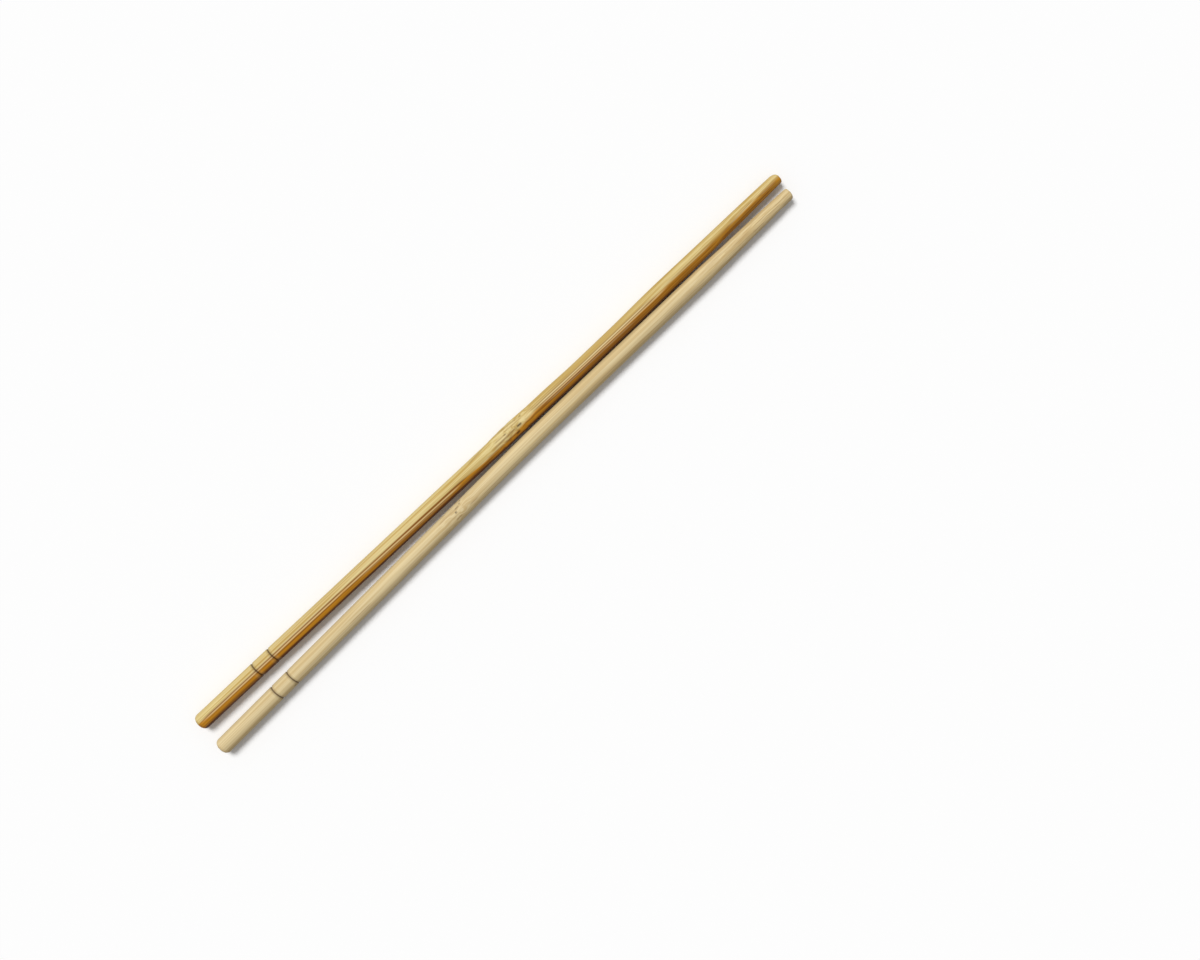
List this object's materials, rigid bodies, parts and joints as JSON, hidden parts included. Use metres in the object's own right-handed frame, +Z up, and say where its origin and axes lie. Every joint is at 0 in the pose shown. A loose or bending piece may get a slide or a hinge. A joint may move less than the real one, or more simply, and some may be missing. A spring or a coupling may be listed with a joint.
{
  "type": "pair of bamboo chopsticks",
  "caption": "Round disposable bamboo chopsticks lying loose side by side, with ring grooves near rounded butts and tapered tips",
  "frame": {"origin": "bottom centre of the pair's box, on the surface that it lies on", "axes": "+X runs from the butts to the tips, +Y from the right stick to the left one, +Z up"},
  "size_m": [0.2306, 0.0148, 0.0051],
  "materials": {
    "amber_bamboo": "matte",
    "pale_bamboo": "matte"
  },
  "bodies": {
    "root": {"left_chopstick": "amber_bamboo", "right_chopstick": "pale_bamboo"}
  },
  "joints": []
}
